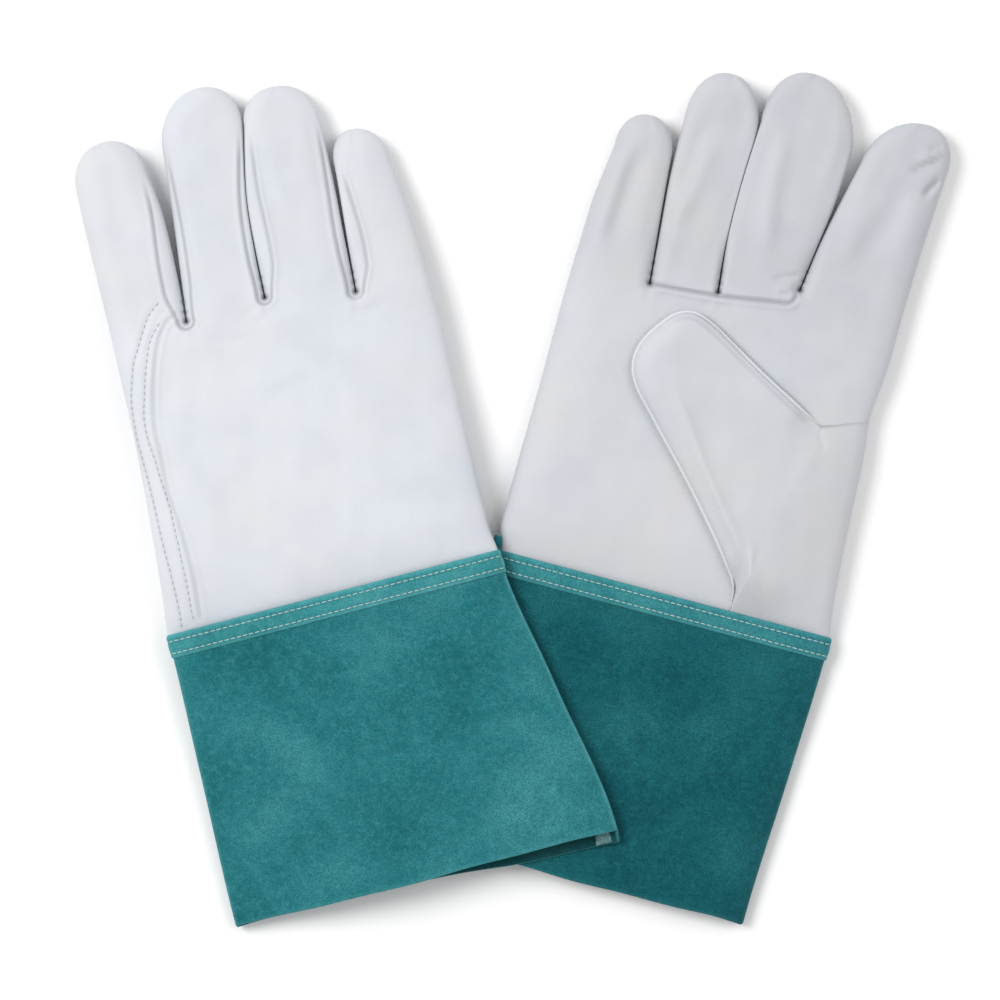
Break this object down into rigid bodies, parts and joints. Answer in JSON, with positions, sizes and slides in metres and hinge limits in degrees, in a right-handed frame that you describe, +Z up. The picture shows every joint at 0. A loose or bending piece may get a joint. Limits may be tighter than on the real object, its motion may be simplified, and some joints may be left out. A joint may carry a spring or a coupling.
{
  "type": "pair of welding gloves",
  "caption": "Pair of pale grain-leather welding gloves with teal split-leather gauntlet cuffs, laid flat, one back up and one palm up, with jointed fingers, thumbs and cuffs.",
  "frame": {"origin": "centre of the pair's footprint, on the surface that the gloves lie on", "axes": "+X to the right and +Y towards the fingertips as the pair is laid out, +Z up"},
  "size_m": [0.3696, 0.366, 0.0257],
  "materials": {
    "grain_leather": "fine-grained, soft satin",
    "split_leather": "matt suede nap",
    "band_leather": "matt suede nap",
    "thread": "matt sewing thread"
  },
  "bodies": {
    "over_hand": {"over_back_seam_stitching": "thread", "over_hand_back": "grain_leather", "over_hand_palm": "grain_leather", "over_thumb_gusset": "grain_leather"},
    "over_cuff": {"over_band_stitching": "thread", "over_cuff": "split_leather", "over_cuff_band": "band_leather", "over_cuff_side_seam": "split_leather"},
    "over_index_finger": {"over_index_fourchette_little_side": "grain_leather", "over_index_wrap": "grain_leather"},
    "over_little_finger": {"over_little_back": "grain_leather", "over_little_fourchette_index_side": "grain_leather", "over_little_front": "grain_leather"},
    "over_middle_finger": {"over_middle_back": "grain_leather", "over_middle_fourchette_index_side": "grain_leather", "over_middle_fourchette_little_side": "grain_leather", "over_middle_front": "grain_leather"},
    "over_ring_finger": {"over_ring_back": "grain_leather", "over_ring_fourchette_index_side": "grain_leather", "over_ring_fourchette_little_side": "grain_leather", "over_ring_front": "grain_leather"},
    "over_thumb": {"over_thumb_inner": "grain_leather", "over_thumb_outer": "grain_leather", "over_thumb_welt": "grain_leather"},
    "under_hand": {"under_back_seam_stitching": "thread", "under_hand_back": "grain_leather", "under_hand_palm": "grain_leather", "under_thumb_gusset": "grain_leather"},
    "under_cuff": {"under_band_stitching": "thread", "under_cuff": "split_leather", "under_cuff_band": "band_leather", "under_cuff_side_seam": "split_leather"},
    "under_index_finger": {"under_index_fourchette_little_side": "grain_leather", "under_index_wrap": "grain_leather"},
    "under_little_finger": {"under_little_back": "grain_leather", "under_little_fourchette_index_side": "grain_leather", "under_little_front": "grain_leather"},
    "under_middle_finger": {"under_middle_back": "grain_leather", "under_middle_fourchette_index_side": "grain_leather", "under_middle_fourchette_little_side": "grain_leather", "under_middle_front": "grain_leather"},
    "under_ring_finger": {"under_ring_back": "grain_leather", "under_ring_fourchette_index_side": "grain_leather", "under_ring_fourchette_little_side": "grain_leather", "under_ring_front": "grain_leather"},
    "under_thumb": {"under_thumb_inner": "grain_leather", "under_thumb_outer": "grain_leather", "under_thumb_welt": "grain_leather"}
  },
  "joints": [
    {"name": "over_glove_lift", "type": "slide", "parent": "under_hand", "child": "over_hand", "axis": [0, 0, 1], "range_m": [0, 0.1]},
    {"name": "over_index_curl", "type": "hinge", "parent": "over_hand", "child": "over_index_finger", "pos_m": [-0.1543, 0.07196, 0.007], "axis": [-0.9677, -0.2521, 0], "range_deg": [0, 80]},
    {"name": "over_middle_curl", "type": "hinge", "parent": "over_hand", "child": "over_middle_finger", "pos_m": [-0.12159, 0.08048, 0.0082], "axis": [-0.9677, -0.2521, 0], "range_deg": [0, 80]},
    {"name": "over_ring_curl", "type": "hinge", "parent": "over_hand", "child": "over_ring_finger", "pos_m": [-0.08637, 0.08965, 0.0082], "axis": [-0.9677, -0.2521, 0], "range_deg": [0, 80]},
    {"name": "over_little_curl", "type": "hinge", "parent": "over_hand", "child": "over_little_finger", "pos_m": [-0.05211, 0.09858, 0.0048], "axis": [-0.9677, -0.2521, 0], "range_deg": [0, 80]},
    {"name": "over_thumb_swing", "type": "hinge", "parent": "over_hand", "child": "over_thumb", "pos_m": [-0.12657, -0.00555, 0], "axis": [-0.4389, 0.8985, 0], "range_deg": [0, 100]},
    {"name": "over_wrist_bend", "type": "hinge", "parent": "over_hand", "child": "over_cuff", "pos_m": [-0.07636, -0.04001, 0.0232], "axis": [-0.9677, -0.2521, 0], "range_deg": [0, 60]},
    {"name": "under_index_curl", "type": "hinge", "parent": "under_hand", "child": "under_index_finger", "pos_m": [0.14354, 0.07615, 0.0135], "axis": [0.9664, -0.2571, 0], "range_deg": [0, 80]},
    {"name": "under_middle_curl", "type": "hinge", "parent": "under_hand", "child": "under_middle_finger", "pos_m": [0.10517, 0.08636, 0.0135], "axis": [0.9664, -0.2571, 0], "range_deg": [0, 80]},
    {"name": "under_ring_curl", "type": "hinge", "parent": "under_hand", "child": "under_ring_finger", "pos_m": [0.07396, 0.09466, 0.0135], "axis": [0.9664, -0.2571, 0], "range_deg": [0, 80]},
    {"name": "under_little_curl", "type": "hinge", "parent": "under_hand", "child": "under_little_finger", "pos_m": [0.04381, 0.10269, 0.0135], "axis": [0.9664, -0.2571, 0], "range_deg": [0, 80]},
    {"name": "under_thumb_swing", "type": "hinge", "parent": "under_hand", "child": "under_thumb", "pos_m": [0.11663, -0.00672, 0.02438], "axis": [0.4436, 0.8962, 0], "range_deg": [0, 100]},
    {"name": "under_wrist_bend", "type": "hinge", "parent": "under_hand", "child": "under_cuff", "pos_m": [0.06624, -0.04091, 0], "axis": [0.9664, -0.2571, 0], "range_deg": [0, 60]}
  ]
}
